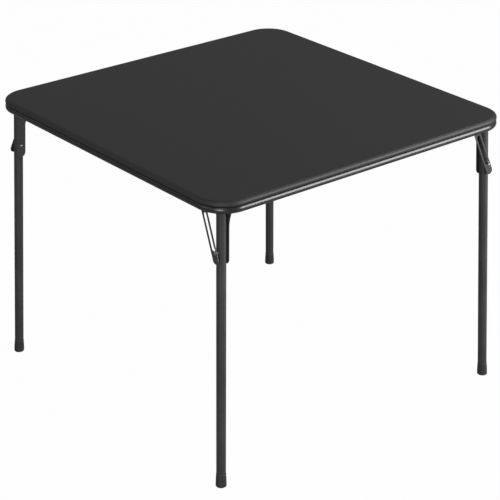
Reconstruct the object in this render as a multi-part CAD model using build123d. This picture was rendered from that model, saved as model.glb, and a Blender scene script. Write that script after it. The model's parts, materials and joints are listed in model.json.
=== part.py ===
from build123d import *
import math
import os

# Folding card table, in millimetres. +Z is up, the origin is at the centre of the
# footprint on the floor, and the sides lie along X and Y.

# Whole table
side = 864.0
height = 688.5
corner_radius = 68.5
corner_count = 4
overrun = 1.0
fit_gap = 0.05
moving_gap = 0.3

# Padded top
cover_inset = 0.2
vinyl = 1.0
foam_height = 8.4
board_height = 3.2
cover_top_radius = 8.5
cover_lower_radius = 4.5
foam_top_radius = 7.4
foam_lower_radius = 0.8
board_lower_radius = 2.6
lip_width = 28.0

# Rail round the top
rail_height = 15.2
rail_depth = 15.0
rail_wall = 1.2
rail_top_radius = 3.7
rail_lower_radius = 7.0
rail_inner_radius = 3.0
rail_crown_radius = 12.0

# Tabs welded inside the rail, and the screws through them
clip_length = 24.0
clip_reach = 15.0
clip_sheet = 1.2
clip_place_shares = (-0.28, 0.28)
screw_inset = 22.0
screw_shank_radius = 1.6
screw_head_radius = 3.6
screw_head_height = 2.0
screw_bite = 2.6

# Leg hinge: the pin lies along a rail, level with the rail's lower edge
leg_inset = 40.7
pin_drop = 4.0
leg_splay = 21.15
splay_drop = 627.3
pin_radius = 2.6
pin_head_radius = 3.6
pin_head_height = 1.2

# Leg
leg_radius = 10.9
leg_wall = 1.1
leg_top_rise = 4.0

# Plate on the leg's inner side
plate_sheet = 1.5
plate_gap = 0.1
plate_half_width = 12.0
plate_end_drop = 109.0
flare_drop = 36.0
flare_mid_drop = 22.0
flare_mid_width = 15.0
flare_top_width = 19.7

# Rivet in the leg, with its spacer
rivet_drop = 91.5
rivet_radius = 3.0
rivet_head_radius = 4.4
rivet_head_height = 1.9
spacer_radius = 5.2

# Slotted strap
strap_sheet = 2.0
strap_face = 17.4
strap_half_width = 9.25
strap_pivot_y = 39.9
strap_pivot_rise = 0.0
strap_angle = 23.2
strap_length = 116.1
slot_half_width = 5.2
slot_start = 11.0
slot_end = 95.6
strap_bore_radius = 2.5

# Corner bracket
gusset_sheet = 2.0
gusset_rise = 8.2
gusset_reach = 96.0
gusset_edge = 32.0
weld_gap = 0.3
ear_sheet = 1.6
ear_radius = 5.2
ear_gap = 0.4
tab_sheet = 2.0
tab_gap = 0.6
tab_radius = 6.8
pivot_radius = 2.4
pivot_head_radius = 4.3
pivot_head_height = 1.6

# Foot cap, radii from the floor up
cap_height = 32.0
cap_shoulder = 6.0
cap_barrel = 14.0
cap_neck = 24.0
cap_max_radius = 12.45
cap_barrel_radius = 12.2
cap_neck_radius = 11.75
cap_lip_radius = 11.35
cap_rim_radius = 4.0
cap_floor = 5.0

# Worked out from these
half_side = side / 2
rail_base = height - 2 * vinyl - foam_height - board_height - rail_height
rail_top = rail_base + rail_height
board_base = rail_top + vinyl
foam_base = board_base + board_height
cover_half = half_side - cover_inset
splay = leg_splay / splay_drop
lean = math.atan(splay * math.cos(math.atan(splay)))
pin_height = rail_base - pin_drop
pin_place = leg_inset - half_side
leg_length = pin_height * math.sqrt(1 + 2 * splay * splay)
strap_inner = strap_face - strap_sheet
outer_ear_face = leg_radius + ear_gap
plate_face = leg_radius + plate_gap
plate_back = plate_face + plate_sheet
inner_ear_face = plate_back + moving_gap


def rounded_slab(half, base, top, radius):
    """A square slab with rounded corners in plan, centred on the table."""
    with BuildPart() as slab:
        with BuildSketch(Plane.XY.offset(base)):
            RectangleRounded(2 * half, 2 * half, radius)
        extrude(amount=top - base)
    return slab.part


def softened_slab(half, base, top, radius, upper, lower):
    """The same slab with its upper and lower edges rounded over."""
    slab = rounded_slab(half, base, top, radius)
    rims = slab.faces().sort_by(Axis.Z)
    slab = fillet(rims[-1].edges(), upper)
    rims = slab.faces().sort_by(Axis.Z)
    return fillet(rims[0].edges(), lower)


def pad_radius(inset):
    return corner_radius - inset


def disc(radius, start, end, plane, y=0, z=0):
    """A round bar along the plane's X axis."""
    axis = Plane(origin=plane.from_local_coords((start, y, z)), x_dir=plane.y_dir, z_dir=plane.x_dir)
    with BuildPart() as bar:
        with BuildSketch(axis):
            Circle(radius)
        extrude(amount=end - start)
    return bar.part


def dome(radius, rise, start, away, plane, y=0, z=0):
    """A domed rivet head that stands on the face at start and points along away (1 or -1)."""
    sphere_radius = (radius * radius + rise * rise) / (2 * rise)
    with BuildPart() as head:
        with BuildSketch(Plane.XZ):
            with BuildLine():
                Line((0, 0), (radius, 0))
                RadiusArc((radius, 0), (0, rise), -sphere_radius)
                Line((0, rise), (0, 0))
            make_face()
        revolve(axis=Axis.Z)
    seat = Plane(origin=plane.from_local_coords((start, y, z)), x_dir=plane.y_dir, z_dir=plane.x_dir * away)
    return seat.location * head.part


def sheet(points_face, start, end, plane):
    """A flat face drawn in Y and Z of the plane, made into sheet between two X places."""
    upright = Plane(origin=plane.from_local_coords((start, 0, 0)), x_dir=plane.y_dir, z_dir=plane.x_dir)
    return upright.location * extrude(points_face, amount=end - start)


def corner_copies(make):
    """One piece per corner, named by its place, turned a quarter at a time."""
    names = ("front_left", "front_right", "back_right", "back_left")
    quarter = 360 / corner_count
    piece = make()
    return {name: Rot(0, 0, quarter * turn) * piece for turn, name in enumerate(names)}


# The fixed hinge frame of the front left corner: X along the pin, Y the way the leg folds.
pin_point = (pin_place, pin_place, pin_height)
hinge_plane = Plane(origin=pin_point, x_dir=(1, 0, -splay), z_dir=(splay, 0, 1))
# The leg's own frame there: the same X, with Z up along the splayed leg.
leg_plane = Plane(origin=pin_point, x_dir=(1, 0, -splay), z_dir=(splay, splay, 1))


def make_foam():
    half = cover_half - vinyl
    return softened_slab(half, foam_base, height - vinyl, pad_radius(cover_inset + vinyl), foam_top_radius,
                         foam_lower_radius)


def make_board():
    half = cover_half - vinyl
    board = rounded_slab(half, board_base, foam_base, pad_radius(cover_inset + vinyl))
    return fillet(board.faces().sort_by(Axis.Z)[0].edges(), board_lower_radius)


def clip_places():
    """Centre of each tab on the front rail, then turned round the table."""
    return [share * side for share in clip_place_shares]


def round_table(piece):
    """The piece at the front, with its copies on the other three sides."""
    quarter = 360 / corner_count
    return [Rot(0, 0, quarter * turn) * piece for turn in range(corner_count)]


def screw_bar(radius, base, top):
    """Upright bars at every screw's place."""
    bars = []
    for place in clip_places():
        with BuildPart() as bar:
            with BuildSketch(Plane.XY.offset(base)):
                with Locations((place, screw_inset - half_side)):
                    Circle(radius)
            extrude(amount=top - base)
        bars += round_table(bar.part)
    return bars


def make_cover(foam, board):
    cover = softened_slab(cover_half, rail_top, height, pad_radius(cover_inset), cover_top_radius,
                          cover_lower_radius)
    opening_half = half_side - lip_width
    opening = rounded_slab(opening_half, rail_top - overrun, board_base + overrun, pad_radius(lip_width))
    return cover - foam - board - opening - screw_bar(screw_shank_radius + moving_gap, rail_top - overrun,
                                                      board_base + overrun)


def rail_section():
    """The rail's cross-section: X is the outward distance from its outermost point, Y is up."""
    middle = rail_height / 2
    set_back = rail_crown_radius - math.sqrt(rail_crown_radius ** 2 - middle ** 2)
    with BuildSketch() as sketch:
        with BuildLine():
            Line((-rail_depth, 0), (-set_back, 0))
            ThreePointArc((-set_back, 0), (0, middle), (-set_back, rail_height))
            Line((-set_back, rail_height), (-rail_depth, rail_height))
            Line((-rail_depth, rail_height), (-rail_depth, 0))
        make_face()
        corners = sketch.vertices()
        outer = corners.group_by(Axis.X)[-1].sort_by(Axis.Y)
        inner = corners.group_by(Axis.X)[0]
        fillet(inner, rail_inner_radius)
        fillet(outer[0], rail_lower_radius)
        fillet(sketch.vertices().group_by(Axis.Y)[-1].sort_by(Axis.X)[-1], rail_top_radius)
    section = sketch.sketch
    return section - offset(section, amount=-rail_wall)


def make_rail():
    """The front rail, between two bends."""
    run = side - 2 * corner_radius
    start = Plane(origin=(run / 2, -half_side, rail_base), x_dir=(0, -1, 0), z_dir=(-1, 0, 0))
    return extrude(start.location * rail_section(), amount=run)


def make_bend():
    """The front left bend, a quarter turn of the same section."""
    centre = corner_radius - half_side
    start = Plane(origin=(centre, -half_side, rail_base), x_dir=(0, -1, 0), z_dir=(-1, 0, 0))
    axis = Axis((centre, centre, rail_base), (0, 0, -1))
    return revolve(start.location * rail_section(), axis=axis, revolution_arc=360 / corner_count)


def make_clips():
    clips = []
    inner_face = rail_depth - half_side
    for place in clip_places():
        with BuildPart() as clip:
            with BuildSketch(Plane.XY.offset(rail_top - clip_sheet - rail_inner_radius)):
                with Locations((place, inner_face)):
                    Rectangle(clip_length, clip_reach, align=(Align.CENTER, Align.MIN))
            extrude(amount=clip_sheet)
        clips += round_table(clip.part)
    holes = screw_bar(screw_shank_radius + fit_gap, rail_base, rail_top)
    return Compound([clip - holes for clip in clips])


def make_screws():
    clip_under = rail_top - clip_sheet - rail_inner_radius
    screws = []
    for shank, head in zip(screw_bar(screw_shank_radius, clip_under, board_base + screw_bite),
                           screw_bar(screw_head_radius, clip_under - screw_head_height, clip_under)):
        screws.append(shank + head)
    return Compound(screws)


def gusset_outline():
    """The plate's outline in plan, in the corner between the two rails."""
    inner = rail_depth - half_side
    bend = corner_radius - half_side
    near = gusset_reach - half_side
    edge = gusset_edge - half_side
    bend_radius = corner_radius - rail_depth - weld_gap
    with BuildSketch() as sketch:
        with BuildLine():
            Line((inner, bend), (inner, near))
            Line((inner, near), (edge, near))
            Line((edge, near), (near, edge))
            Line((near, edge), (near, inner))
            Line((near, inner), (bend, inner))
            Line((bend, inner), (bend, inner + weld_gap))
            RadiusArc((bend, inner + weld_gap), (inner + weld_gap, bend), bend_radius)
            Line((inner + weld_gap, bend), (inner, bend))
        make_face()
    return sketch.sketch


def ear_face(radius, y, z, rise):
    """An ear's face: a round end about (y, z) and a square top."""
    round_end = Pos(y, z) * Circle(radius)
    upright = Pos(y, z) * Rectangle(2 * radius, rise - z, align=(Align.CENTER, Align.MIN))
    return round_end + upright


def make_bracket():
    plate_base = rail_base + gusset_rise
    rise = plate_base + gusset_sheet / 2 - pin_height
    plate = Pos(0, 0, plate_base) * extrude(gusset_outline(), amount=gusset_sheet)
    ear = ear_face(ear_radius, 0, 0, rise) - Circle(pin_radius + fit_gap)
    tab = ear_face(tab_radius, strap_pivot_y, strap_pivot_rise, rise)
    tab -= Pos(strap_pivot_y, strap_pivot_rise) * Circle(pivot_radius + fit_gap)
    tab_inner = strap_face + tab_gap
    outer_ear = sheet(ear, -outer_ear_face - ear_sheet, -outer_ear_face, hinge_plane)
    inner_ear = sheet(ear, inner_ear_face, inner_ear_face + ear_sheet, hinge_plane)
    strap_tab = sheet(tab, -tab_inner - tab_sheet, -tab_inner, hinge_plane)
    return plate + outer_ear + inner_ear + strap_tab


def make_hinge_pin():
    outer = outer_ear_face + ear_sheet
    inner = inner_ear_face + ear_sheet
    shank = disc(pin_radius, -outer, inner, hinge_plane)
    outer_head = dome(pin_head_radius, pin_head_height, -outer, -1, hinge_plane)
    inner_head = dome(pin_head_radius, pin_head_height, inner, 1, hinge_plane)
    return shank + outer_head + inner_head


def make_leg_tube():
    """The tube, cut square below the gusset and level with the floor inside the cap."""
    bottom = -leg_length
    with BuildPart() as tube:
        with BuildSketch(Plane.XY.offset(bottom)):
            Circle(leg_radius)
            Circle(leg_radius - leg_wall, mode=Mode.SUBTRACT)
        extrude(amount=leg_length + leg_top_rise)
    below = Pos(0, 0, cap_floor) * Box(side, side, height, align=(Align.CENTER, Align.CENTER, Align.MAX))
    leg = leg_plane.location * tube.part - below
    pin_hole = disc(pin_radius + fit_gap, -leg_radius - overrun, leg_radius + overrun, leg_plane)
    rivet_hole = disc(rivet_radius + fit_gap, -leg_radius - overrun, leg_radius + overrun, leg_plane,
                      0, -rivet_drop)
    return leg - pin_hole - rivet_hole


def make_leg_plate():
    """The plate: a round lower end, straight sides and a flare on the side away from the fold."""
    half = plate_half_width
    with BuildSketch() as sketch:
        with BuildLine():
            ThreePointArc((half, -plate_end_drop), (0, -plate_end_drop - half), (-half, -plate_end_drop))
            Line((-half, -plate_end_drop), (-half, -flare_drop))
            Spline((-half, -flare_drop), (-flare_mid_width, -flare_mid_drop), (-flare_top_width, 0),
                   tangents=((0, 1), (-1, 1)))
            Line((-flare_top_width, 0), (-half, half))
            Line((-half, half), (0, half))
            RadiusArc((0, half), (half, 0), half)
            Line((half, 0), (half, -plate_end_drop))
        make_face()
        Circle(pin_radius + fit_gap, mode=Mode.SUBTRACT)
        with Locations((0, -rivet_drop)):
            Circle(rivet_radius + fit_gap, mode=Mode.SUBTRACT)
    return sheet(sketch.sketch, plate_face, plate_back, leg_plane)


def make_rivet():
    """The leg's rivet: its shank stops short of the strap, and its outer head lies beyond it."""
    shank_end = strap_inner - moving_gap
    shank = disc(rivet_radius, -shank_end, plate_back, leg_plane, 0, -rivet_drop)
    inner_head = dome(rivet_head_radius, rivet_head_height, plate_back, 1, leg_plane, 0, -rivet_drop)
    outer_face = strap_face + moving_gap
    outer_head = dome(rivet_head_radius, rivet_head_height, -outer_face, -1, leg_plane, 0, -rivet_drop)
    return Compound([shank + inner_head, outer_head])


def make_spacer():
    outer = strap_inner - moving_gap
    ring = Circle(spacer_radius) - Circle(rivet_radius + fit_gap)
    return sheet(Pos(0, -rivet_drop) * ring, -outer, -leg_radius - plate_gap, leg_plane)


def rivet_in_strap():
    """The rivet's place in the strap's own frame: distance across the strap and along it, at rest."""
    rivet_y = -rivet_drop * math.sin(lean) - strap_pivot_y
    rivet_z = -rivet_drop * math.cos(lean) - strap_pivot_rise
    turn = math.radians(strap_angle)
    across = rivet_y * math.cos(turn) - rivet_z * math.sin(turn)
    along = rivet_y * math.sin(turn) + rivet_z * math.cos(turn)
    return across, along


def make_strap():
    """The slotted strap: round ends, a long slot, and a pocket beside the slot's lower end."""
    across, along = rivet_in_strap()
    pocket_radius = rivet_radius + moving_gap
    outline = Circle(strap_half_width) + Pos(0, -strap_length) * Circle(strap_half_width)
    outline += Rectangle(2 * strap_half_width, strap_length, align=(Align.CENTER, Align.MAX))
    slot_bottom = -slot_end + slot_half_width
    slot_top = -slot_start - slot_half_width
    outline -= Pos(0, slot_top) * Circle(slot_half_width)
    outline -= Pos(0, slot_bottom) * Circle(slot_half_width)
    outline -= Pos(0, slot_bottom) * Rectangle(2 * slot_half_width, slot_top - slot_bottom,
                                               align=(Align.CENTER, Align.MIN))
    outline -= Pos(across, along) * Circle(pocket_radius)
    outline -= Pos(across, along) * Rectangle(2 * pocket_radius, slot_bottom - along,
                                              align=(Align.CENTER, Align.MIN))
    outline -= Circle(strap_bore_radius)
    outline = Pos(strap_pivot_y, strap_pivot_rise) * Rot(0, 0, -strap_angle) * outline
    return sheet(outline, -strap_face, -strap_inner, hinge_plane)


def make_strap_pivot():
    tab_outer = strap_face + tab_gap + tab_sheet
    strap_side = strap_inner - moving_gap
    place = (hinge_plane, strap_pivot_y, strap_pivot_rise)
    shank = disc(pivot_radius, -tab_outer, -strap_side, *place)
    outer_head = dome(pivot_head_radius, pivot_head_height, -tab_outer, -1, *place)
    inner_head = dome(pivot_head_radius, pivot_head_height, -strap_side, 1, *place)
    return shank + outer_head + inner_head


def make_foot_cap():
    """A cap turned about the leg's axis, then cut level at the floor."""
    lift = leg_length
    with BuildPart() as cap:
        with BuildSketch(Plane.XZ):
            with BuildLine():
                Polyline((0, -cap_rim_radius), (cap_max_radius, -cap_rim_radius), (cap_max_radius, cap_shoulder),
                         (cap_barrel_radius, cap_barrel), (cap_neck_radius, cap_neck), (cap_lip_radius, cap_height),
                         (0, cap_height), (0, -cap_rim_radius))
            make_face()
        revolve(axis=Axis.Z)
    body = Pos(0, 0, -lift) * cap.part
    below = Box(side, side, height, align=(Align.CENTER, Align.CENTER, Align.MAX))
    body = leg_plane.location * body - below
    rim = body.faces().sort_by(Axis.Z)[0].edges()
    body = fillet(rim, cap_rim_radius)
    socket = Pos(0, 0, -lift) * Cylinder(leg_radius + fit_gap, 2 * cap_height + overrun)
    socket = leg_plane.location * socket - Pos(0, 0, cap_floor) * below
    return body - socket


os.makedirs("parts", exist_ok=True)
foam = make_foam()
board = make_board()
screw_holes = screw_bar(screw_shank_radius + fit_gap, board_base - overrun, board_base + screw_bite)
single_pieces = {
    "foam_pad": foam,
    "top_panel": board - screw_holes,
    "vinyl_cover": make_cover(foam, board),
    "panel_clips": make_clips(),
    "panel_screws": make_screws(),
}
rail_names = ("rail_front", "rail_right", "rail_back", "rail_left")
for rail_name, rail in zip(rail_names, round_table(make_rail())):
    single_pieces[rail_name] = rail
corner_makers = {
    "corner_bend": make_bend,
    "corner_bracket": make_bracket,
    "hinge_pin": make_hinge_pin,
    "leg_tube": make_leg_tube,
    "leg_plate": make_leg_plate,
    "leg_rivet": make_rivet,
    "rivet_spacer": make_spacer,
    "brace": make_strap,
    "brace_pivot": make_strap_pivot,
    "foot_cap": make_foot_cap,
}
for kind, maker in corner_makers.items():
    for corner, piece in corner_copies(maker).items():
        single_pieces[kind + "_" + corner] = piece
for node, piece in single_pieces.items():
    export_step(piece, "parts/" + node + ".step")
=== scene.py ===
import json
import math
import bmesh
import bpy
from mathutils import Matrix, Vector, noise


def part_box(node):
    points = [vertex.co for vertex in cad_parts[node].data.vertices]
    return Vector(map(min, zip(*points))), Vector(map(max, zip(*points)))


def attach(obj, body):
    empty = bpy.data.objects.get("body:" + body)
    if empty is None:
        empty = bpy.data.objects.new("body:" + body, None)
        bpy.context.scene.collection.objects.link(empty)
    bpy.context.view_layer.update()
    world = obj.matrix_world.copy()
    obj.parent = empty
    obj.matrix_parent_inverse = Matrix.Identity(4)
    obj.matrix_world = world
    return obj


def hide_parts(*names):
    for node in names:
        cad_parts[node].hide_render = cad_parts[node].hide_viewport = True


# Folding card table: a padded vinyl top on a steel rail, with four splayed legs.
# Everything is in metres, in the frame of the construction.
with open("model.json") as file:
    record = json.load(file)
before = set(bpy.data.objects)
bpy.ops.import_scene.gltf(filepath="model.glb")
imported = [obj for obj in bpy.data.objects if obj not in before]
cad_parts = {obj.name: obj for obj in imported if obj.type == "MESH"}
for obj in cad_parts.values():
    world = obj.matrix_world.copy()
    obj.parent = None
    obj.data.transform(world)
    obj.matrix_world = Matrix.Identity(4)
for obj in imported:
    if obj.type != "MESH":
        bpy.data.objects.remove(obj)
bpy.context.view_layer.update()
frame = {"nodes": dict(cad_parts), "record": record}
mm = 0.001
mergeGap = 0.003 * mm  # points closer than this become one
quarterTurn = math.pi / 2
cornerNames = ("front_left", "front_right", "back_right", "back_left")
coverLow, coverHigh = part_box("vinyl_cover")
railLow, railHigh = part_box("rail_front")
railHalf = -railLow.y  # from the table's middle to the rail's outer face
railCorner = 68.5 * mm  # outer radius of the rail's bends
pivotReach = 39.9 * mm  # from the hinge pin to the strap's pivot, along the rail
rivetDrop = 91.5 * mm  # from the hinge pin to the leg's rivet, down the leg
joints = {joint["name"]: joint for joint in frame["record"]["behaviour"]["joints"]}


# Links a value to a socket, or sets a plain number or colour on it.
def feed(tree, socket, item):
    if isinstance(item, Value):
        tree.links.new(item.socket, socket)
    else:
        socket.default_value = item


# Adds a node: its settings first, then what its sockets take.
def addNode(tree, kind, inputs=(), **settings):
    node = tree.nodes.new(kind)
    for key, item in settings.items():
        setattr(node, key, item)
    for key, item in dict(inputs).items():
        feed(tree, node.inputs[key], item)
    return node


# Shader maths: a value in a node tree that can be added, multiplied and so on.
class Value:
    def __init__(self, tree, socket):
        self.tree = tree
        self.socket = socket

    def combine(self, operation, items, clamp=False):
        node = addNode(self.tree, "ShaderNodeMath", enumerate(items),
                       operation=operation, use_clamp=clamp)
        return Value(self.tree, node.outputs[0])

    def run(self, operation, *others):
        return self.combine(operation, (self, *others))

    def __add__(self, other):
        return self.run("ADD", other)

    __radd__ = __add__

    def __sub__(self, other):
        return self.run("SUBTRACT", other)

    def __rsub__(self, other):
        return self.combine("SUBTRACT", (other, self))

    def __mul__(self, other):
        return self.run("MULTIPLY", other)

    __rmul__ = __mul__

    def __truediv__(self, other):
        return self.run("DIVIDE", other)

    def __rtruediv__(self, other):
        return self.combine("DIVIDE", (other, self))

    def most(self, other):
        return self.run("MAXIMUM", other)

    def sine(self):
        return self.run("SINE")

    def clamped(self):
        return self.combine("ADD", (self, 0), clamp=True)

    # A smooth step from 0 at low to 1 at high.
    def step(self, low, high):
        t = ((self - low) / (high - low)).clamped()
        return t * t * (3 - t * 2)


# A material and its node tree; place is where on the object the shader is.
class Look:
    def __init__(self, name, slotName=None):
        self.material = bpy.data.materials.new(name)
        self.material.use_nodes = True
        self.tree = self.material.node_tree
        self.slotName = slotName
        self.shader = self.tree.nodes["Principled BSDF"]
        self.output = self.tree.nodes["Material Output"]
        self.place = self.node("ShaderNodeTexCoord", out="Object")

    def node(self, kind, inputs=(), out=0, **settings):
        return Value(self.tree, addNode(self.tree, kind, inputs, **settings).outputs[out])

    def axes(self):
        split = addNode(self.tree, "ShaderNodeSeparateXYZ", {0: self.place})
        return [Value(self.tree, output) for output in split.outputs]

    def cloud(self, scale, detail, rough=0.55, vector=None):
        return self.node("ShaderNodeTexNoise", {"Vector": vector or self.place, "Scale": scale,
                                                "Detail": detail, "Roughness": rough})

    def cells(self, scale, feature="F1"):
        return self.node("ShaderNodeTexVoronoi", {"Vector": self.place, "Scale": scale},
                         out="Distance", feature=feature)

    def stretched(self, x, y, z):
        return self.node("ShaderNodeMapping", {"Vector": self.place, "Scale": (x, y, z)})

    # A colour between two others, by a factor from 0 to 1.
    def blend(self, factor, first, second):
        return self.node("ShaderNodeMix", {0: factor, 6: (*first, 1.0), 7: (*second, 1.0)},
                         out=2, data_type="RGBA")

    def bump(self, height, distance, strength):
        normal = self.node("ShaderNodeBump", {"Height": height, "Distance": distance,
                                              "Strength": strength})
        self.set({"Normal": normal})

    def set(self, inputs):
        for key, item in inputs.items():
            feed(self.tree, self.shader.inputs[key], item)


# Matte black vinyl: a fine pebbled grain, with a faint patchiness in its sheen.
def makeVinyl():
    vinyl = {"grain": 1250, "fineGrain": 2900, "patch": 9, "dust": 340,
             "dark": (0.0165, 0.0165, 0.0170), "pale": (0.0225, 0.0225, 0.0230),
             "roughness": 0.45, "shine": 0.5, "grainDepth": 0.06 * mm}
    look = Look("blackVinyl", "black_vinyl")
    grain = look.cells(vinyl["grain"], "SMOOTH_F1")
    fine = look.cells(vinyl["fineGrain"])
    patch = look.cloud(vinyl["patch"], 3)
    dust = look.cloud(vinyl["dust"], 5)
    tone = (patch * 0.5 + dust * 0.35 + grain * 0.3).step(0.35, 0.95)
    look.set({
        "Base Color": look.blend(tone, vinyl["dark"], vinyl["pale"]),
        "Roughness": patch * 0.08 + grain * 0.06 + vinyl["roughness"],
        "Specular IOR Level": vinyl["shine"],
    })
    look.bump(grain * 0.7 + fine * 0.3, vinyl["grainDepth"], 0.5)
    return look


# Black enamel: sprayed on, with a slight orange peel and a little wear. One enamel in three copies:
# the leg and part copies have lighter base colours than the rail's, painted light that brightens
# them.
def makeEnamel(name):
    enamel = {
        "railEnamel": {"peel": 260, "roughness": 0.16, "shine": 0.58,
                       "dark": (0.0105, 0.0105, 0.0108), "worn": (0.021, 0.0208, 0.0205)},
        # Painted light: the legs' dark and worn colours are lighter than the rail's, to brighten
        # the same enamel.
        "legEnamelPaintedLighter": {"peel": 330, "roughness": 0.42, "shine": 0.5,
                      "dark": (0.025, 0.025, 0.0253), "worn": (0.041, 0.0407, 0.0403)},
        # Painted light: the small parts' colours are lighter still, to brighten the same enamel.
        "partEnamelPaintedLighter": {"peel": 420, "roughness": 0.4, "shine": 0.5,
                       "dark": (0.030, 0.030, 0.0303), "worn": (0.048, 0.0475, 0.047)},
    }[name]
    texture = {"fleck": 900, "patch": 14, "streak": 60, "streakLength": 0.12, "depth": 0.03 * mm}
    look = Look(name, "black_enamel")
    wave = look.cloud(enamel["peel"], 2)
    fleck = look.cloud(texture["fleck"], 4)
    patch = look.cloud(texture["patch"], 4)
    streak = look.cloud(texture["streak"], 3, vector=look.stretched(1, 1, texture["streakLength"]))
    tone = (patch * 0.6 + streak * 0.4).step(0.38, 0.72)
    look.set({
        "Base Color": look.blend(tone, enamel["dark"], enamel["worn"]),
        "Roughness": wave * 0.06 + patch * 0.10 + fleck * 0.04 + enamel["roughness"],
        "Specular IOR Level": enamel["shine"],
    })
    look.bump(wave * 0.8 + fleck * 0.2, texture["depth"], 0.35)
    return look


# Dull zinc rivets, stained in patches, with small scratches.
def makeRivetMetal():
    metal = {"scratch": 700, "stain": 240, "dark": (0.20, 0.20, 0.202),
             "pale": (0.30, 0.297, 0.292), "metallic": 0.7, "roughness": 0.17, "depth": 0.03 * mm}
    look = Look("rivetMetal", "bright_rivet")
    scratch = look.cloud(metal["scratch"], 4, vector=look.stretched(1, 6, 1))
    stain = look.cloud(metal["stain"], 4).step(0.35, 0.7)
    look.set({
        "Base Color": look.blend(stain, metal["dark"], metal["pale"]),
        "Metallic": metal["metallic"],
        "Roughness": scratch * 0.12 + metal["roughness"],
    })
    look.bump(scratch, metal["depth"], 0.3)
    return look


# Zinc plate on the screws, which shades from blue to yellow.
def makeZinc():
    zinc = {"stain": 420, "hue": 90, "blue": (0.55, 0.56, 0.58), "yellow": (0.62, 0.60, 0.52),
            "roughness": 0.22, "depth": 0.02 * mm}
    look = Look("zincPlate", "zinc_screw")
    stain = look.cloud(zinc["stain"], 5)
    hue = look.cloud(zinc["hue"], 2).step(0.35, 0.65)
    look.set({
        "Base Color": look.blend(hue, zinc["blue"], zinc["yellow"]),
        "Metallic": 1.0,
        "Roughness": stain * 0.3 + zinc["roughness"],
    })
    look.bump(stain, zinc["depth"], 0.3)
    return look


# Hardboard: pressed fibre, with the fine wire-screen pattern on its underside.
def makeHardboard():
    board = {"fibre": 180, "fleck": 1200, "blotch": 6, "wireSpacing": 1.6 * mm,
             "dark": (0.105, 0.058, 0.030), "pale": (0.235, 0.140, 0.075),
             "roughness": 0.68, "depth": 0.12 * mm}
    look = Look("hardboard", "hardboard")
    x, y = look.axes()[:2]
    perMetre = 2 * math.pi / board["wireSpacing"]
    screen = (x * perMetre).sine() * (y * perMetre).sine() * 0.5 + 0.5
    fibre = look.cloud(board["fibre"], 6, 0.7)
    fleck = look.cloud(board["fleck"], 3)
    blotch = look.cloud(board["blotch"], 4)
    tone = (fibre * 0.55 + fleck * 0.25 + blotch * 0.3).step(0.35, 0.8)
    look.set({
        "Base Color": look.blend(tone, board["dark"], board["pale"]),
        "Roughness": fibre * 0.2 + board["roughness"],
    })
    look.bump(screen * 0.6 + fibre * 0.5, board["depth"], 0.6)
    return look


# Yellowed foam, open in fine cells.
def makeFoam():
    foam = {"cells": 700, "patch": 40, "yellow": (0.66, 0.60, 0.40), "cream": (0.76, 0.71, 0.52),
            "roughness": 0.85, "depth": 0.4 * mm}
    look = Look("foam", "foam")
    cells = look.cells(foam["cells"])
    patch = look.cloud(foam["patch"], 3)
    look.set({
        "Base Color": look.blend(patch, foam["yellow"], foam["cream"]),
        "Roughness": cells * 0.1 + foam["roughness"],
    })
    look.bump(cells, foam["depth"], 0.8)
    return look


# Moulded black foot caps, satin, with a scuffed lower rim.
def makeCapPlastic():
    plastic = {"mottle": 260, "patch": 85, "scuffTop": 7 * mm, "scuffFull": -0.5 * mm,
               "dark": (0.014, 0.014, 0.0145), "scuffed": (0.060, 0.058, 0.055),
               "roughness": 0.34, "depth": 0.16 * mm}
    look = Look("capPlastic", "black_foot")
    height = look.axes()[2]
    mottle = look.cloud(plastic["mottle"], 4)
    patch = look.cloud(plastic["patch"], 3)
    scuff = height.step(plastic["scuffTop"], plastic["scuffFull"]) * mottle.step(0.4, 0.7)
    tone = (scuff * 0.8 + patch * 0.3).clamped()
    look.set({
        "Base Color": look.blend(tone, plastic["dark"], plastic["scuffed"]),
        "Roughness": mottle * 0.16 + scuff * 0.22 + patch * 0.12 + plastic["roughness"],
    })
    look.bump(mottle * 0.4 + patch, plastic["depth"], 0.5)
    return look


# Turns a bmesh into a piece of the scene, smooth but for edges sharper than the angle.
def finishMesh(name, mesh, look, smoothAngle=35):
    mesh.normal_update()
    data = bpy.data.meshes.new(name)
    mesh.to_mesh(data)
    mesh.free()
    data.materials.append(look.material)
    data.set_sharp_from_angle(angle=math.radians(smoothAngle))
    for face in data.polygons:
        face.use_smooth = True
    piece = bpy.data.objects.new(name, data)
    bpy.context.scene.collection.objects.link(piece)
    return piece


# Rounds every edge that turns by more than the least angle.
def bevelled(piece, width, segments=3, leastAngle=40):
    bevel = piece.modifiers.new("edge", "BEVEL")
    bevel.affect = "EDGES"
    bevel.width = width
    bevel.segments = segments
    bevel.profile = 0.5
    bevel.material = -1
    bevel.limit_method = "ANGLE"
    bevel.angle_limit = math.radians(leastAngle)
    bevel.harden_normals = False
    return piece


# A line of new edges through the points, closed on itself when joined.
def drawLine(mesh, points, joined=False):
    verts = [mesh.verts.new(point) for point in points]
    edges = [mesh.edges.new(pair) for pair in zip(verts, verts[1:])]
    if joined:
        edges.append(mesh.edges.new((verts[-1], verts[0])))
    return verts, edges


# What is of one kind in the geometry that an operator gives back.
def pick(geometry, kind):
    return [item for item in geometry if isinstance(item, kind)]


# Draws the edges on into a new row of faces, and gives the row's own verts and edges.
def extrudeRow(mesh, edges):
    grown = bmesh.ops.extrude_edge_only(mesh, edges=edges)["geom"]
    return pick(grown, bmesh.types.BMVert), pick(grown, bmesh.types.BMEdge)


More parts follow.
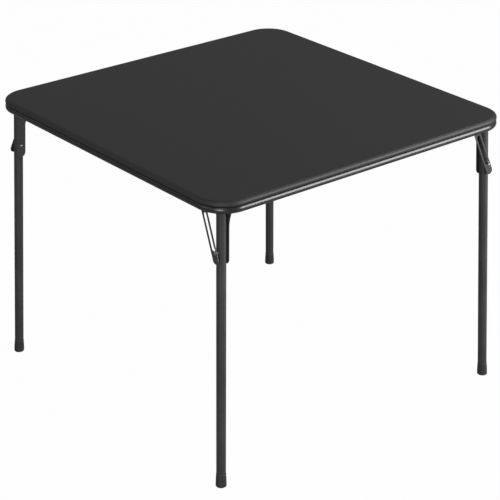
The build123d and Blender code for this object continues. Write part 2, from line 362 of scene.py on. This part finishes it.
# A turned piece about the place's Z axis, from (radius, height) points; its ends close on
# the axis unless the profile is joined to itself.
def turnedPiece(mesh, profile, place, steps=64, joined=False):
    before = set(mesh.verts)
    points = list(profile)
    if not joined:
        points = [(0, profile[0][1]), *profile, (0, profile[-1][1])]
    verts, edges = drawLine(mesh, [(radius, 0, height) for radius, height in points], joined)
    bmesh.ops.spin(mesh, geom=verts + edges, cent=(0, 0, 0), axis=(0, 0, 1),
                   angle=2 * math.pi, steps=steps, use_merge=True)
    added = [vert for vert in mesh.verts if vert not in before]
    bmesh.ops.remove_doubles(mesh, verts=added, dist=mergeGap)
    added = [vert for vert in mesh.verts if vert not in before]
    bmesh.ops.transform(mesh, matrix=place, verts=added)
    return added


# Points along an arc between two angles in degrees.
def arc(centreX, centreY, radius, start, end, steps):
    points = []
    for step in range(steps + 1):
        angle = math.radians(start + (end - start) * step / steps)
        points.append((centreX + radius * math.cos(angle), centreY + radius * math.sin(angle)))
    return points


# A round hole's outline, whose last point doesn't repeat its first.
def boreOutline(radius, steps=24):
    return arc(0, 0, radius, 0, 360 - 360 / steps, steps - 1)


# Sheet metal: outlines in a plane's X and Y, the first with any others as holes in it.
def sheetPiece(mesh, outlines, thickness, place):
    edges = []
    for outline in outlines:
        verts = [mesh.verts.new(place @ Vector((x, y, 0))) for x, y in outline]
        for index in range(len(verts)):
            edges.append(mesh.edges.new((verts[index - 1], verts[index])))
    filled = bmesh.ops.triangle_fill(mesh, use_beauty=True, use_dissolve=False, edges=edges)
    faces = pick(filled["geom"], bmesh.types.BMFace)
    raised = bmesh.ops.extrude_face_region(mesh, geom=faces, use_keep_orig=True)
    lifted = pick(raised["geom"], bmesh.types.BMVert)
    shift = place.to_3x3() @ Vector((0, 0, thickness))
    bmesh.ops.translate(mesh, verts=lifted, vec=shift)
    bmesh.ops.recalc_face_normals(mesh, faces=mesh.faces)


# Runs a section of (inset, height) points round a square: along each side, then a quarter turn.
def roundSquare(mesh, section, half, radius, cornerSteps=22, sideSteps=30, joined=False):
    reach = half - radius
    start = [(-reach, inset - half, height) for inset, height in section]
    verts, edges = drawLine(mesh, start, joined)
    for side in range(4):
        turn = Matrix.Rotation(side * quarterTurn, 3, "Z")
        stride = turn @ Vector((2 * reach / sideSteps, 0, 0))
        for step in range(sideSteps):
            verts, edges = extrudeRow(mesh, edges)
            bmesh.ops.translate(mesh, verts=verts, vec=stride)
        spun = bmesh.ops.spin(mesh, geom=verts + edges, cent=turn @ Vector((reach, -reach, 0)),
                              axis=(0, 0, 1), angle=quarterTurn, steps=cornerSteps)["geom_last"]
        verts, edges = pick(spun, bmesh.types.BMVert), pick(spun, bmesh.types.BMEdge)
    bmesh.ops.remove_doubles(mesh, verts=mesh.verts, dist=mergeGap)


# Closes the open rim at a height with rings drawn in towards the centre, then a point.
def closeOver(mesh, height, rings):
    edges = [edge for edge in mesh.edges if edge.is_boundary
             and all(abs(vert.co.z - height) < mergeGap for vert in edge.verts)]
    for ring in range(rings, -1, -1):
        verts, edges = extrudeRow(mesh, edges)
        if ring:
            shrink = ring / (ring + 1)
            bmesh.ops.scale(mesh, vec=(shrink, shrink, 1), verts=verts)
    bmesh.ops.pointmerge(mesh, verts=verts, merge_co=(0, 0, height))


# The vinyl: flat on top, rolled over the pad's edge and tucked in under the board.
def makeCover(look):
    cover = {
        "cornerRadius": 68.3 * mm, "skin": 1 * mm, "rings": 26,
        "roundWide": 10 * mm, "roundHigh": 7.5 * mm, "roundSteps": 14,
        "lowerRound": 4.8 * mm, "lowerSteps": 8,
        "lipRows": (9 * mm, 18 * mm, 27.8 * mm),  # how far in the lip's rows lie
        "ripple": 0.16 * mm, "rippleScale": 7, "sideFiner": 3,
    }
    top = coverHigh.z
    bottom = coverLow.z
    lower = cover["lowerRound"]
    section = [(x * cover["roundWide"], top + z * cover["roundHigh"])
               for x, z in arc(1, -1, 1, 90, 180, cover["roundSteps"])]
    section += [(x, bottom + lower + z)
                for x, z in arc(lower, 0, lower, 180, 270, cover["lowerSteps"])]
    section += [(inset, bottom) for inset in cover["lipRows"]]
    mesh = bmesh.new()
    roundSquare(mesh, section, coverHigh.x, cover["cornerRadius"])
    closeOver(mesh, top, cover["rings"])
    bmesh.ops.recalc_face_normals(mesh, faces=mesh.faces)
    # The ripple only sinks: down on the top, and inwards round the side.
    bend = top - cover["roundHigh"] / 2
    for vert in mesh.verts:
        if vert.co.z > bend:
            lean = noise.noise(vert.co * cover["rippleScale"]) - 1
            vert.co.z += cover["ripple"] * lean * 0.5
        elif vert.co.z > bottom + lower / 2:
            away = Vector((vert.co.x, vert.co.y, 0)).normalized()
            lean = noise.noise(vert.co * cover["sideFiner"] * cover["rippleScale"])
            vert.co -= away * cover["ripple"] * (0.5 + 0.5 * lean)
    bmesh.ops.solidify(mesh, geom=mesh.faces, thickness=cover["skin"])
    piece = finishMesh("vinylCover", mesh, look)
    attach(piece, "top")
    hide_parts("vinyl_cover")


# The foam under the vinyl, rounded off along its upper edge.
def makeFoamPad(look):
    low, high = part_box("foam_pad")
    foam = {"cornerRadius": 67.3 * mm, "topRound": 7.4 * mm, "gap": 0.6 * mm, "rings": 4}
    gap = foam["gap"]
    topRound = foam["topRound"]
    top = high.z - gap
    section = [(gap + x, top + z) for x, z in arc(topRound, -topRound, topRound, 90, 180, 6)]
    section.append((gap, low.z))
    mesh = bmesh.new()
    roundSquare(mesh, section, high.x, foam["cornerRadius"], cornerSteps=12, sideSteps=16)
    closeOver(mesh, top, foam["rings"])
    closeOver(mesh, low.z, foam["rings"])
    bmesh.ops.recalc_face_normals(mesh, faces=mesh.faces)
    piece = finishMesh("foamPad", mesh, look)
    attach(piece, "top")
    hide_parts("foam_pad")


# The rail: one rolled section that runs round under the pad, with four wide bends.
def makeRail(look):
    rail = {"depth": 15 * mm, "crown": 12 * mm, "topRound": 3.7 * mm, "lowerRound": 7 * mm,
            "innerRound": 3 * mm, "bulgeSteps": 5, "roundSteps": 10, "innerSteps": 8}
    low = railLow.z
    high = railHigh.z
    middle = (low + high) / 2
    halfHigh = (high - low) / 2
    crown = rail["crown"]
    section = []
    for radius, side in ((rail["topRound"], 1), (rail["lowerRound"], -1)):
        # The outer face bulges; each rounded corner starts where it runs level with the bulge.
        lean = math.degrees(math.asin((halfHigh - radius) / (crown - radius)))
        x = crown - (crown - radius) * math.cos(math.radians(lean))
        corner = arc(x, side * (halfHigh - radius), radius, 180 - side * lean, 180 - side * 90,
                     rail["roundSteps"])
        bulge = arc(crown, 0, crown, 180, 180 - side * lean, rail["bulgeSteps"])[1:-1]
        points = [(px, middle + pz) for px, pz in bulge + corner]
        section += points[::-1] if side == 1 else [(0, middle)] + points
    inner = rail["innerRound"]
    for z, start in ((low + inner, 270), (high - inner, 360)):
        section += arc(rail["depth"] - inner, z, inner, start, start + 90, rail["innerSteps"])
    mesh = bmesh.new()
    roundSquare(mesh, section, railHalf, railCorner, cornerSteps=28, sideSteps=12, joined=True)
    bmesh.ops.recalc_face_normals(mesh, faces=mesh.faces)
    piece = finishMesh("railLoop", mesh, look)
    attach(piece, "top")
    straight = ["rail_" + name for name in ("front", "right", "back", "left")]
    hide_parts(*straight, *["corner_bend_" + name for name in cornerNames])


# The places of one corner: the pin's frame in the top, and the leg's own frame, Z up along it.
def cornerPlaces(name):
    fold = joints["leg_fold_" + name]
    pin = Vector(fold["pos_m"])
    across = Vector(fold["axis"]).normalized()
    flat = Vector((across.x, across.y, 0)).normalized()
    onward = Vector((0, 0, 1)).cross(flat)
    splay = -across.z / math.hypot(across.x, across.y)
    upright = across.cross(onward)
    legUp = (flat * splay + onward * splay + Vector((0, 0, 1))).normalized()
    legOnward = legUp.cross(across)

    def grid(x, y, z):
        return Matrix((
            (x.x, y.x, z.x, pin.x),
            (x.y, y.y, z.y, pin.y),
            (x.z, y.z, z.z, pin.z),
            (0, 0, 0, 1),
        ))

    return grid(across, onward, upright), grid(across, legOnward, legUp)


# Turns a plane so that its X is the frame's Y, its Y the frame's Z and its Z the frame's X.
def sideways(place, across, y=0, z=0):
    turn = Matrix(((0, 0, 1, across), (1, 0, 0, y), (0, 1, 0, z), (0, 0, 0, 1)))
    return place @ turn


# Turns a place over to face the other way.
def flip(place):
    return place @ Matrix.Rotation(math.pi, 4, "Y")


# The radius of the sphere that a shallow dome is cut from.
def domeSphere(radius, rise):
    return (radius * radius + rise * rise) / (2 * rise)


# The profile of a rivet head, from its rim up to its top.
def domeProfile(radius, rise, steps=8):
    sphere = domeSphere(radius, rise)
    spread = math.degrees(math.asin(radius / sphere))
    rim = 0.12 * mm
    tip = 0.05 * mm  # radius of the flat spot on the very top
    points = [(radius - rim, 0), (radius, rim)]
    for step in range(1, steps):
        angle = math.radians(spread * (1 - step / steps))
        points.append((sphere * math.sin(angle), rise - sphere + sphere * math.cos(angle)))
    return [point for point in points if point[1] >= 0] + [(tip, rise)]


# The steel tube, open at both ends, down into its foot cap.
def makeTube(name, legPlace, reach, looks):
    leg = {"radius": 10.9 * mm, "wall": 1.1 * mm, "rise": 4 * mm, "rim": 0.3 * mm,
           "capFloor": 5 * mm, "leanShare": 0.06}  # the leaning end clears the cap's floor
    top = leg["rise"]
    bottom = leg["capFloor"] / legPlace.col[2].z - reach + leg["radius"] * leg["leanShare"]
    rim = leg["rim"]
    outside = leg["radius"]
    inside = outside - leg["wall"]
    profile = [
        (outside - rim, bottom), (outside, bottom + rim),
        (outside, top - rim), (outside - rim, top),
        (inside + rim, top), (inside, top - rim),
        (inside, bottom + rim), (inside + rim, bottom),
    ]
    mesh = bmesh.new()
    turnedPiece(mesh, profile, legPlace, steps=72, joined=True)
    bmesh.ops.recalc_face_normals(mesh, faces=mesh.faces)
    tube = finishMesh("legTube_" + name, mesh, looks["legEnamelPaintedLighter"])
    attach(tube, "leg_" + name)
    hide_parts("leg_tube_" + name)


# The plate on the leg's inner side, which flares out towards the rail at its top.
def makeLegPlate(name, legPlace, looks):
    plate = {"sheet": 1.5 * mm, "face": 11.0 * mm, "half": 12 * mm, "endDrop": 109 * mm,
             "flareDrop": 36 * mm, "flareWidth": 19.7 * mm, "flareSteps": 10, "sag": 0.35,
             "bore": 2.75 * mm, "edge": 0.35 * mm}
    half = plate["half"]
    outline = arc(0, -plate["endDrop"], half, 0, -180, 24)
    for step in range(plate["flareSteps"] + 1):
        share = step / plate["flareSteps"]
        curve = share * share * (1 + plate["sag"] - plate["sag"] * share)
        outline.append((-half - (plate["flareWidth"] - half) * curve,
                        -plate["flareDrop"] * (1 - share)))
    outline += [(-half, half)]
    outline += arc(0, 0, half, 90, 0, 12)
    mesh = bmesh.new()
    sheetPiece(mesh, [outline, boreOutline(plate["bore"])], plate["sheet"],
               sideways(legPlace, plate["face"]))
    piece = finishMesh("legPlate_" + name, mesh, looks["partEnamelPaintedLighter"])
    bevelled(piece, plate["edge"])
    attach(piece, "leg_" + name)
    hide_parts("leg_plate_" + name)


# The rivet through leg and plate. Its outer head stands apart, beyond the strap.
def makeRivet(name, legPlace, looks):
    rivet = {"radius": 3 * mm, "head": 4.4 * mm, "rise": 1.9 * mm, "plateBack": 12.5 * mm,
             "shankEnd": 15.1 * mm, "outerFace": 17.7 * mm, "sunk": 0.2 * mm}
    head = domeProfile(rivet["head"], rivet["rise"])
    length = rivet["shankEnd"] + rivet["plateBack"] + rivet["sunk"]
    mesh = bmesh.new()
    turnedPiece(mesh, head, sideways(legPlace, rivet["plateBack"], 0, -rivetDrop), steps=40)
    turnedPiece(mesh, head, flip(sideways(legPlace, -rivet["outerFace"], 0, -rivetDrop)),
                steps=40)
    turnedPiece(mesh, [(rivet["radius"], 0), (rivet["radius"], length)],
                sideways(legPlace, -rivet["shankEnd"], 0, -rivetDrop), steps=32)
    bmesh.ops.recalc_face_normals(mesh, faces=mesh.faces)
    piece = finishMesh("legRivet_" + name, mesh, looks["rivetMetal"])
    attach(piece, "leg_" + name)
    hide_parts("leg_rivet_" + name)


# The bush on the rivet, which holds the strap away from the tube.
def makeSpacer(name, legPlace, looks):
    spacer = {"radius": 5.2 * mm, "bore": 3.05 * mm, "rim": 0.25 * mm,
              "outerFace": 15.1 * mm, "tubeFace": 11.0 * mm}
    rim = spacer["rim"]
    outside = spacer["radius"]
    bore = spacer["bore"]
    length = spacer["outerFace"] - spacer["tubeFace"]
    profile = [(bore, 0), (outside - rim, 0), (outside, rim), (outside, length - rim),
               (outside - rim, length), (bore, length)]
    mesh = bmesh.new()
    turnedPiece(mesh, profile, sideways(legPlace, -spacer["outerFace"], 0, -rivetDrop),
                steps=40, joined=True)
    bmesh.ops.recalc_face_normals(mesh, faces=mesh.faces)
    piece = finishMesh("rivetSpacer_" + name, mesh, looks["partEnamelPaintedLighter"])
    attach(piece, "leg_" + name)
    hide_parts("rivet_spacer_" + name)


# The cap on the tube's lower end, which stands on the floor.
def makeCap(name, legPlace, reach, looks):
    cap = {
        "radius": 12.45 * mm, "rim": 2.8 * mm, "shoulder": 6 * mm,
        # (radius, height) in mm: up inside, over the lip, and down past two grooves.
        "wall": ((10.95, 5), (10.95, 31.7), (11.05, 32), (11.35, 31.7), (11.45, 29),
                 (11.3, 28.4), (11.6, 26), (11.75, 24), (12.1, 18), (12.2, 14),
                 (11.95, 13.2), (12.2, 12.4), (12.45, 7)),
    }
    rim = cap["rim"]
    profile = [(radius * mm, height * mm) for radius, height in cap["wall"]]
    profile += [(cap["radius"] - rim + x, rim + z) for x, z in arc(0, 0, rim, 0, -90, 8)]
    footPlace = legPlace @ Matrix.Translation((0, 0, -reach))
    mesh = bmesh.new()
    turnedPiece(mesh, profile, footPlace)
    # The cap's lower end is sheared level with the floor, as the leg leans.
    foot = footPlace.translation
    up = legPlace.to_3x3().col[2]
    for vert in mesh.verts:
        level = (vert.co - foot).dot(up)
        share = max(0, 1 - level / cap["shoulder"])
        side = vert.co - foot - up * level
        vert.co.z -= side.z * share
    bmesh.ops.recalc_face_normals(mesh, faces=mesh.faces)
    piece = finishMesh("footCap_" + name, mesh, looks["capPlastic"], smoothAngle=50)
    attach(piece, "leg_" + name)
    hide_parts("foot_cap_" + name)


# The slotted strap beside the leg, with the notch that holds the rivet.
def makeStrap(name, pinPlace, legPlace, looks):
    strap = {"sheet": 2 * mm, "face": 17.4 * mm, "half": 9.25 * mm, "length": 116.1 * mm,
             "angle": 23.2, "slotHalf": 5.2 * mm, "slotStart": 11 * mm, "slotEnd": 95.6 * mm,
             "notch": 3.3 * mm, "notchLip": 1 * mm, "bore": 2.45 * mm, "edge": 0.4 * mm}
    plane = sideways(pinPlace, -strap["face"], pivotReach)
    plane = plane @ Matrix.Rotation(-math.radians(strap["angle"]), 4, "Z")
    rivet = plane.inverted() @ (legPlace @ Vector((0, 0, -rivetDrop)))
    half = strap["half"]
    outline = arc(0, 0, half, 0, 180, 24) + arc(0, -strap["length"], half, 180, 360, 24)
    slotHalf = strap["slotHalf"]
    slotLow = slotHalf - strap["slotEnd"]
    notch = strap["notch"]
    slot = arc(0, -strap["slotStart"] - slotHalf, slotHalf, 0, 180, 16)
    slot += [(-slotHalf, slotLow), (rivet.x - notch, slotLow - strap["notchLip"])]
    slot += arc(rivet.x, rivet.y, notch, 180, 350, 16)
    slot += arc(0, slotLow, slotHalf, -78, 0, 8)
    mesh = bmesh.new()
    sheetPiece(mesh, [outline, slot, boreOutline(strap["bore"])], strap["sheet"], plane)
    piece = finishMesh("slottedStrap_" + name, mesh, looks["partEnamelPaintedLighter"])
    bevelled(piece, strap["edge"])
    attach(piece, "strap_" + name)
    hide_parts("brace_" + name)


# A plate that hangs from the gusset's height down round a pin at y.
def earOutline(radius, y, rise):
    return arc(y, 0, radius, 180, 360, 20) + [(y + radius, rise), (y - radius, rise)]


# The gusset in the rail's corner, with two ears for the hinge pin and a tab for the strap.
def makeBracket(name, pinPlace, looks):
    bracket = {"sheet": 2 * mm, "rise": 8.2 * mm, "reach": 96 * mm, "edgeReach": 32 * mm,
               "inner": 15 * mm, "weld": 0.3 * mm, "edge": 0.3 * mm,
               "ear": 1.6 * mm, "earRadius": 5.2 * mm, "outerEar": 11.3 * mm, "innerEar": 12.8 * mm,
               "tab": 2 * mm, "tabRadius": 6.8 * mm, "tabFace": 18 * mm}
    base = railLow.z + bracket["rise"]
    turn = Matrix.Rotation(cornerNames.index(name) * quarterTurn, 4, "Z")
    inner = bracket["inner"] - railHalf
    bend = railCorner - railHalf
    bendRadius = railCorner - bracket["inner"] - bracket["weld"]
    near = bracket["reach"] - railHalf
    edge = bracket["edgeReach"] - railHalf
    outline = arc(bend, bend, bendRadius, 180, 270, 16)
    outline += [(bend, inner), (near, inner), (near, edge), (edge, near), (inner, near),
                (inner, bend)]
    mesh = bmesh.new()
    sheetPiece(mesh, [outline], bracket["sheet"], turn @ Matrix.Translation((0, 0, base)))
    rise = base + bracket["sheet"] / 2 - pinPlace.translation.z
    ear = earOutline(bracket["earRadius"], 0, rise)
    tab = earOutline(bracket["tabRadius"], pivotReach, rise)
    for shape, start, thickness in (
            (ear, -bracket["outerEar"] - bracket["ear"], bracket["ear"]),
            (ear, bracket["innerEar"], bracket["ear"]),
            (tab, -bracket["tabFace"] - bracket["tab"], bracket["tab"])):
        sheetPiece(mesh, [shape], thickness, sideways(pinPlace, start))
    piece = finishMesh("cornerBracket_" + name, mesh, looks["partEnamelPaintedLighter"])
    bevelled(piece, bracket["edge"], segments=2)
    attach(piece, "top")
    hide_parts("corner_bracket_" + name)


# A shank across the corner from start to end, with a domed head on each of its ends.
def headedPin(name, pin, pinPlace, look, node):
    start = sideways(pinPlace, pin["start"], pin["y"])
    end = sideways(pinPlace, pin["end"], pin["y"])
    shank = [(pin["radius"], 0), (pin["radius"], pin["end"] - pin["start"])]
    head = domeProfile(pin["head"], pin["rise"])
    mesh = bmesh.new()
    for profile, place in ((shank, start), (head, end), (head, flip(start))):
        turnedPiece(mesh, profile, place, steps=40)
    bmesh.ops.recalc_face_normals(mesh, faces=mesh.faces)
    piece = finishMesh(name, mesh, look)
    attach(piece, "top")
    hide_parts(node)


def makePins(name, pinPlace, looks):
    hinge = {"radius": 2.6 * mm, "head": 3.6 * mm, "rise": 1.2 * mm,
             "start": -12.9 * mm, "end": 14.4 * mm, "y": 0}
    headedPin("hingePin_" + name, hinge, pinPlace, looks["rivetMetal"], "hinge_pin_" + name)
    pivot = {"radius": 2.4 * mm, "head": 4.3 * mm, "rise": 1.6 * mm,
             "start": -20 * mm, "end": -15.1 * mm, "y": pivotReach}
    headedPin("strapPivot_" + name, pivot, pinPlace, looks["rivetMetal"], "brace_pivot_" + name)


# One corner: the leg with all that rides on it, its strap, and the bracket that carries them.
def makeCorner(name, looks):
    pinPlace, legPlace = cornerPlaces(name)
    reach = legPlace.translation.z / legPlace.col[2].z  # from the pin down the leg to the floor
    makeTube(name, legPlace, reach, looks)
    makeLegPlate(name, legPlace, looks)
    makeRivet(name, legPlace, looks)
    makeSpacer(name, legPlace, looks)
    makeCap(name, legPlace, reach, looks)
    makeStrap(name, pinPlace, legPlace, looks)
    makeBracket(name, pinPlace, looks)
    makePins(name, pinPlace, looks)


# Tabs welded inside the rail, each with a screw up into the board.
def makeFixings(looks):
    clip = {"length": 24 * mm, "reach": 15 * mm, "sheet": 1.2 * mm, "cornerRadius": 3 * mm,
            "places": (-0.28, 0.28), "railDepth": 15 * mm, "drop": 4.2 * mm, "edge": 0.25 * mm,
            "screwInset": 22 * mm, "screwTurn": 40}  # turn of a cross, in radians for each metre
    under = railHigh.z - clip["drop"]
    corner = clip["cornerRadius"]
    start = clip["railDepth"] - railHalf
    end = start + clip["reach"]
    clips = bmesh.new()
    screws = bmesh.new()
    for side in range(4):
        turn = Matrix.Rotation(side * quarterTurn, 4, "Z")
        for share in clip["places"]:
            middle = share * 2 * railHalf
            low = middle - clip["length"] / 2
            high = middle + clip["length"] / 2
            outline = [(low, start), (high, start)]
            outline += arc(high - corner, end - corner, corner, 0, 90, 6)
            outline += arc(low + corner, end - corner, corner, 90, 180, 6)
            place = turn @ Matrix.Translation((0, 0, under))
            sheetPiece(clips, [outline], clip["sheet"], place)
            place = turn @ Matrix.Translation((middle, clip["screwInset"] - railHalf, under))
            place = place @ Matrix.Rotation(math.pi, 4, "X")
            makeScrew(screws, place @ Matrix.Rotation(middle * clip["screwTurn"], 4, "Z"))
    piece = finishMesh("panelClips", clips, looks["partEnamelPaintedLighter"])
    bevelled(piece, clip["edge"], segments=2)
    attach(piece, "top")
    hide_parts("panel_clips")
    bmesh.ops.recalc_face_normals(screws, faces=screws.faces)
    piece = finishMesh("panelScrews", screws, looks["zincPlate"])
    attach(piece, "top")
    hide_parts("panel_screws")


# A domed screw with a cross recess, its head along the place's Z.
def makeScrew(mesh, place):
    screw = {"head": 3.6 * mm, "rise": 2 * mm, "edgeIn": 0.2 * mm, "edgeUp": 0.25 * mm,
             "domeStart": 0.4 * mm, "rings": 12, "shank": 1.6 * mm, "bite": 6.8 * mm,
             "recess": 1.1 * mm, "recessLow": 0.3 * mm, "recessRamp": 0.6 * mm,
             "arm": 0.55 * mm, "armReach": 2.0 * mm, "armTaper": 0.4}
    head = screw["head"]
    rise = screw["rise"]
    profile = [(screw["shank"], -screw["bite"]), (screw["shank"], 0),
               (head - screw["edgeIn"], 0), (head, screw["edgeUp"])]
    sphere = domeSphere(head, rise)
    for ring in range(1, screw["rings"] + 1):
        radius = head * (1 - ring / (screw["rings"] + 0.5))
        height = rise - sphere + math.sqrt(sphere * sphere - radius * radius)
        profile.append((radius, max(height, screw["domeStart"])))
    inverse = place.inverted()
    up = place.to_3x3() @ Vector((0, 0, 1))
    armReach = screw["armReach"]
    for vert in turnedPiece(mesh, profile, place, steps=48):
        spot = inverse @ vert.co
        across = min(abs(spot.x), abs(spot.y))
        along = max(abs(spot.x), abs(spot.y))
        armWidth = screw["arm"] * (1 - along / armReach * screw["armTaper"])
        if spot.z > screw["recessLow"] and across < armWidth and along < armReach:
            vert.co -= up * screw["recess"] * min(1, (armReach - along) / screw["recessRamp"])


# The board keeps its construction shape; its underside shows inside the rail.
def dressBoard(look):
    board = frame["nodes"]["top_panel"]
    board.data.materials.clear()
    board.data.materials.append(look.material)


# How much of the white background each kind of ray sees in the floor and the world.
def backgroundShare(tree, studio):
    path = addNode(tree, "ShaderNodeLightPath")
    camera, glossy, passing = [Value(tree, path.outputs[name]) for name in
                               ("Is Camera Ray", "Is Glossy Ray", "Is Transmission Ray")]
    seen = camera.most(passing) * studio["cameraShare"]
    return seen.most(glossy * studio["glossyShare"])


# A plain floor and world: white to the camera, and grey in the light that they give.
def makeStudio():
    studio = {"floorSize": 60, "floorGrey": 0.35, "floorMottle": 0.01, "worldGrey": 0.235,
              "cameraShare": 0.985, "glossyShare": 0.07}
    look = Look("floorPaint")
    dark = (studio["floorGrey"],) * 3
    pale = (studio["floorGrey"] + studio["floorMottle"],) * 3
    look.set({
        "Base Color": look.blend(look.cloud(3, 2), dark, pale),
        "Roughness": 0.9,
        "Specular IOR Level": 0.0,
    })
    glow = look.node("ShaderNodeEmission", {"Color": (1, 1, 1, 1), "Strength": 1.0})
    painted = Value(look.tree, look.shader.outputs[0])
    share = backgroundShare(look.tree, studio)
    above = look.node("ShaderNodeMixShader", {0: share, 1: painted, 2: glow})
    # From below the floor is clear, so that the table's underside shows.
    under = look.node("ShaderNodeNewGeometry", out="Backfacing")
    clear = look.node("ShaderNodeBsdfTransparent")
    surface = look.node("ShaderNodeMixShader", {0: under, 1: above, 2: clear})
    feed(look.tree, look.output.inputs["Surface"], surface)
    mesh = bmesh.new()
    reach = studio["floorSize"] / 2
    corners = ((-reach, -reach, 0), (reach, -reach, 0), (reach, reach, 0), (-reach, reach, 0))
    mesh.faces.new([mesh.verts.new(corner) for corner in corners])
    floor = finishMesh("floor", mesh, look)
    world = bpy.data.worlds.new("studioWorld")
    bpy.context.scene.world = world
    world.use_nodes = True
    back = world.node_tree.nodes["Background"]
    back.inputs["Color"].default_value = (1, 1, 1, 1)
    dim = studio["worldGrey"]
    strength = backgroundShare(world.node_tree, studio) * (1 - dim) + dim
    feed(world.node_tree, back.inputs["Strength"], strength)


# Soft lamps that all face the table; the light of each grows with its size.
def makeLamps():
    aim = Vector((0, 0, 0.5))
    lamps = {
        "keyLamp": {"place": (2.2, -3.15, 1.2), "width": 2.2, "height": 1.8, "radiance": 10.8},
        "topLamp": {"place": (-1.5, -1.1, 3.2), "width": 0.9, "height": 0.9, "radiance": 3.7},
        "highLamp": {"place": (3.0, -1.2, 3.2), "width": 1.6, "height": 1.6, "radiance": 4.6},
        "sideLamp": {"place": (-3.2, 0.4, 1.9), "width": 1.8, "height": 1.8, "radiance": 0.9},
        "frontLamp": {"place": (-4.5, -3.7, 1.15), "width": 1.8, "height": 1.8, "radiance": 10.4},
    }
    for name, lamp in lamps.items():
        data = bpy.data.lights.new(name, "AREA")
        data.shape = "RECTANGLE"
        data.size = lamp["width"]
        data.size_y = lamp["height"]
        data.energy = lamp["radiance"] * math.pi * lamp["width"] * lamp["height"]
        light = bpy.data.objects.new(name, data)
        bpy.context.scene.collection.objects.link(light)
        light.location = lamp["place"]
        ahead = aim - Vector(lamp["place"])
        light.rotation_euler = ahead.to_track_quat("-Z", "Y").to_euler()


# The photograph's camera; its lens comes from the focal length in pixels.
def makeCamera():
    shot = {"place": (-2.6135, -3.2114, 2.2366), "yaw": 39.202, "pitch": 24.954, "roll": 0.1,
            "focalPixels": 1868.5, "framePixels": 500, "sensor": 36, "farEnd": 200}
    data = bpy.data.cameras.new("camera")
    data.sensor_width = shot["sensor"]
    data.lens = shot["focalPixels"] * shot["sensor"] / shot["framePixels"]
    data.clip_end = shot["farEnd"]
    camera = bpy.data.objects.new("camera", data)
    bpy.context.scene.collection.objects.link(camera)
    camera.location = shot["place"]
    yaw = math.radians(shot["yaw"])
    pitch = math.radians(shot["pitch"])
    roll = Matrix.Rotation(math.radians(shot["roll"]), 3, "Z")
    ahead = Vector((math.sin(yaw) * math.cos(pitch), math.cos(yaw) * math.cos(pitch),
                    -math.sin(pitch)))
    spin = ahead.to_track_quat("-Z", "Y").to_matrix() @ roll
    camera.rotation_euler = spin.to_euler()
    bpy.context.scene.camera = camera


bpy.context.scene.view_settings.view_transform = "Standard"
makeStudio()
makeLamps()
makeCamera()
print("studio is ready")

looks = {
    "vinyl": makeVinyl(),
    "railEnamel": makeEnamel("railEnamel"),
    "legEnamelPaintedLighter": makeEnamel("legEnamelPaintedLighter"),
    "partEnamelPaintedLighter": makeEnamel("partEnamelPaintedLighter"),
    "rivetMetal": makeRivetMetal(),
    "zincPlate": makeZinc(),
    "hardboard": makeHardboard(),
    "foam": makeFoam(),
    "capPlastic": makeCapPlastic(),
}
print("looks are made")

makeCover(looks["vinyl"])
makeFoamPad(looks["foam"])
dressBoard(looks["hardboard"])
makeRail(looks["railEnamel"])
print("top is made")

for cornerName in cornerNames:
    makeCorner(cornerName, looks)
makeFixings(looks)
print("legs, straps, brackets and fixings are made")
